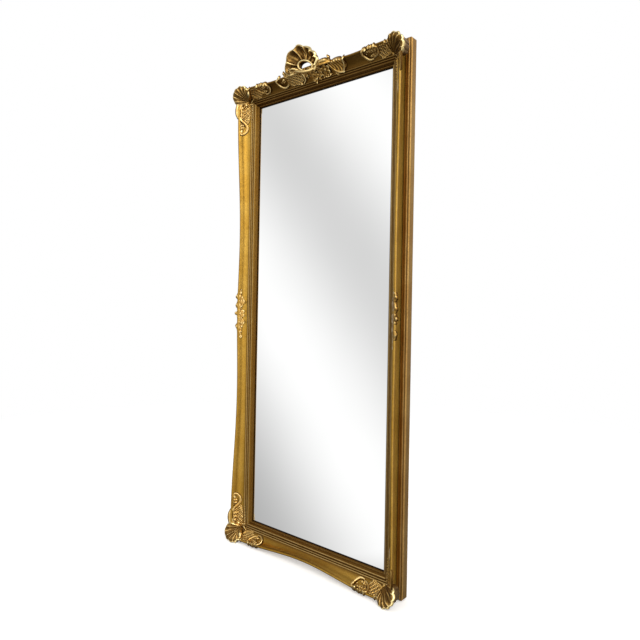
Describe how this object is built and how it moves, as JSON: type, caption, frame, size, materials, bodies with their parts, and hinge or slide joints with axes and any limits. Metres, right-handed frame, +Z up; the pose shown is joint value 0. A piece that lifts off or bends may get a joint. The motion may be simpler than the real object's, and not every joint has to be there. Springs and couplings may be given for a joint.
{
  "type": "cheval floor mirror",
  "caption": "Full-length free-standing mirror in a deep swept gilt frame with shell corner ornaments and a pierced shell crest, with a folding easel frame behind it.",
  "frame": {"origin": "centre of the bounding box in X and Y, on the floor", "axes": "+Z up, the glass faces -Y, +X to the viewer's right when facing the glass"},
  "size_m": [0.73, 0.102, 1.715],
  "materials": {
    "gilt_wood": "burnished gold leaf with a brown antique glaze",
    "gilt_easel": "gold paint with a brown antique glaze",
    "gilt_casting": "cast resin ornament, gilded, dark glaze in the hollows",
    "mirror": "silvered float glass",
    "hardboard": "plain hardboard",
    "bare_wood": "plain pine",
    "steel": "zinc-plated",
    "brass": "aged brass",
    "felt": "dense brown felt"
  },
  "bodies": {
    "mirror_frame": {"top_rail": "gilt_wood", "bottom_rail": "gilt_wood", "left_stile": "gilt_wood", "right_stile": "gilt_wood", "corner_ornament_top_left": "gilt_casting", "corner_ornament_top_right": "gilt_casting", "corner_ornament_bottom_left": "gilt_casting", "corner_ornament_bottom_right": "gilt_casting", "crest_shell": "gilt_casting", "crest_left_cartouche": "gilt_casting", "crest_right_cartouche": "gilt_casting", "left_side_spray": "gilt_casting", "right_side_spray": "gilt_casting", "mirror_glass": "mirror", "backing_board": "hardboard", "backing_beads": "bare_wood", "corner_plates": "steel", "corner_plate_screws": "steel", "bead_pins": "steel", "left_hinge_front_leaf": "brass", "right_hinge_front_leaf": "brass", "left_hinge_pin": "brass", "right_hinge_pin": "brass", "hinge_front_screws": "brass", "left_stay_bracket": "brass", "right_stay_bracket": "brass", "stay_bracket_screws": "brass", "left_stay_rivet": "brass", "right_stay_rivet": "brass"},
    "easel_frame": {"easel_left_stile": "gilt_easel", "easel_right_stile": "gilt_easel", "easel_top_rail": "gilt_easel", "easel_middle_rail": "gilt_easel", "easel_bottom_rail": "gilt_easel", "left_hinge_rear_leaf": "brass", "right_hinge_rear_leaf": "brass", "hinge_rear_screws": "brass", "left_stay_stud": "brass", "right_stay_stud": "brass", "easel_floor_pads": "felt"},
    "left_stay": {"left_stay_arm": "brass"},
    "right_stay": {"right_stay_arm": "brass"}
  },
  "joints": [
    {"name": "easel_fold", "type": "hinge", "parent": "mirror_frame", "child": "easel_frame", "pos_m": [0, 0.0365, 1.6115], "axis": [1, 0, 0], "range_deg": [0, 14]},
    {"name": "left_stay_swing", "type": "hinge", "parent": "mirror_frame", "child": "left_stay", "pos_m": [-0.29355, 0.043, 0.71], "axis": [1, 0, 0], "range_deg": [0, 107.85]},
    {"name": "right_stay_swing", "type": "hinge", "parent": "mirror_frame", "child": "right_stay", "pos_m": [0.29355, 0.043, 0.71], "axis": [1, 0, 0], "range_deg": [0, 107.85]}
  ]
}
